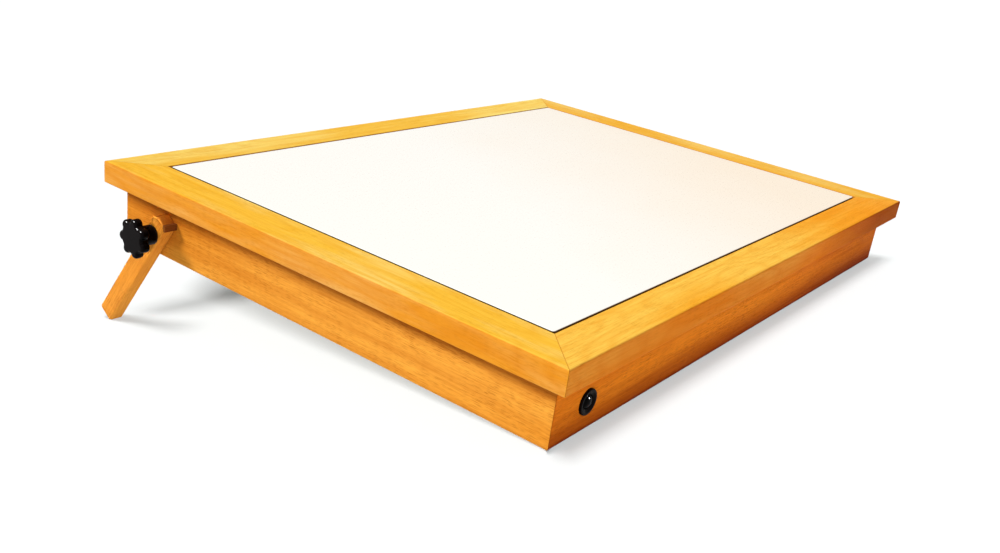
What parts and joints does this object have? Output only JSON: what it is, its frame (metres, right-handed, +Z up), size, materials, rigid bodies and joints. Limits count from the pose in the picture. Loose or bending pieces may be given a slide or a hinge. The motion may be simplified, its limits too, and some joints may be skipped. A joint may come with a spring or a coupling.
{
  "type": "light box",
  "caption": "Tabletop tracing light box: opal panel in a mitred beech frame over a shallow beech box, tilted on folding legs clamped by star knobs.",
  "frame": {"origin": "on the table, under the centre of the box that bounds the part as it stands", "axes": "+X to the right along the front edge, +Y to the rear, +Z up from the table; the board rises 9.4 degrees to the rear"},
  "size_m": [0.72, 0.5328, 0.1539],
  "materials": {
    "beech_frame": "oiled, satin",
    "beech_box": "oiled, satin",
    "beech_leg": "oiled, satin",
    "stop_wood": "oiled",
    "block_wood": "planed",
    "biscuit_wood": "pressed",
    "plywood": "sanded",
    "opal_acrylic": "opal, satin",
    "white_tape": "matt",
    "white_reflector": "matt",
    "led_bar": "white solder mask",
    "led_phosphor": "satin",
    "link_insulation": "satin",
    "circuit_board": "satin",
    "black_parts": "satin",
    "nylon": "satin",
    "zinc_screw": "zinc plated",
    "plated_steel": "zinc plated",
    "black_washer": "satin",
    "black_knob": "gloss",
    "brass_insert": "turned",
    "black_rubber": "matt",
    "black_bezel": "gloss",
    "black_cap": "high gloss",
    "switch_case": "satin",
    "inlet_case": "satin",
    "plated_contact": "polished",
    "cable_jacket": "matt",
    "lead_insulation": "satin"
  },
  "bodies": {
    "box": {"top_front_rail": "beech_frame", "top_right_rail": "beech_frame", "top_rear_rail": "beech_frame", "top_left_rail": "beech_frame", "box_front_board": "beech_box", "box_right_board": "beech_box", "box_rear_board": "beech_box", "box_left_board": "beech_box", "left_leg_stop": "stop_wood", "right_leg_stop": "stop_wood", "corner_block_front_left": "block_wood", "corner_block_front_right": "block_wood", "corner_block_rear_left": "block_wood", "corner_block_rear_right": "block_wood", "mitre_biscuits": "biscuit_wood", "base_board": "plywood", "opal_panel": "opal_acrylic", "panel_tape": "white_tape", "reflector_sheet": "white_reflector", "led_bar_1": "led_bar", "led_bar_2": "led_bar", "led_bar_3": "led_bar", "led_bar_4": "led_bar", "led_bar_5": "led_bar", "led_bar_6": "led_bar", "led_chips": "led_phosphor", "led_links": "link_insulation", "dimmer_board": "circuit_board", "dimmer_parts": "black_parts", "dimmer_spacers": "nylon", "dimmer_screws": "zinc_screw", "base_screws": "zinc_screw", "frame_screws": "zinc_screw", "left_bolt": "plated_steel", "right_bolt": "plated_steel", "button_nut": "plated_steel", "inlet_nut": "plated_steel", "rubber_bumpers": "black_rubber", "button_bezel": "black_bezel", "switch_body": "switch_case", "inlet_shell": "inlet_case", "inlet_contacts": "plated_contact", "supply_cable": "cable_jacket", "switch_lead": "lead_insulation", "lamp_lead": "lead_insulation"},
    "left_leg": {"left_leg": "beech_leg"},
    "left_washer": {"left_washer": "black_washer"},
    "left_knob": {"left_knob": "black_knob", "left_knob_insert": "brass_insert"},
    "right_leg": {"right_leg": "beech_leg"},
    "right_washer": {"right_washer": "black_washer"},
    "right_knob": {"right_knob": "black_knob", "right_knob_insert": "brass_insert"},
    "button": {"button_cap": "black_cap"}
  },
  "joints": [
    {"name": "left_leg_fold", "type": "hinge", "parent": "box", "child": "left_leg", "pos_m": [-0.326, 0.174, 0.09487], "axis": [-1, 0, 0], "range_deg": [0, 117]},
    {"name": "left_knob_travel", "type": "slide", "parent": "box", "child": "left_washer", "axis": [-1, 0, 0], "range_m": [0, 0.003]},
    {"name": "left_knob_turn", "type": "hinge", "parent": "left_washer", "child": "left_knob", "pos_m": [-0.326, 0.174, 0.09487], "axis": [-1, 0, 0], "range_deg": [0, 1081]},
    {"name": "right_leg_fold", "type": "hinge", "parent": "box", "child": "right_leg", "pos_m": [0.326, 0.174, 0.09487], "axis": [-1, 0, 0], "range_deg": [0, 117]},
    {"name": "right_knob_travel", "type": "slide", "parent": "box", "child": "right_washer", "axis": [1, 0, 0], "range_m": [0, 0.003]},
    {"name": "right_knob_turn", "type": "hinge", "parent": "right_washer", "child": "right_knob", "pos_m": [0.326, 0.174, 0.09487], "axis": [1, 0, 0], "range_deg": [0, 1081]},
    {"name": "button_press", "type": "slide", "parent": "box", "child": "button", "axis": [0, 0.9866, 0.1633], "range_m": [0, 0.0015], "stiffness_N_per_m": 400, "springref_m": -0.001}
  ],
  "couplings": [
    {"joint": "left_knob_turn", "follows": "left_knob_travel", "rad_per_m": 6283.2},
    {"joint": "right_knob_turn", "follows": "right_knob_travel", "rad_per_m": 6283.2}
  ]
}
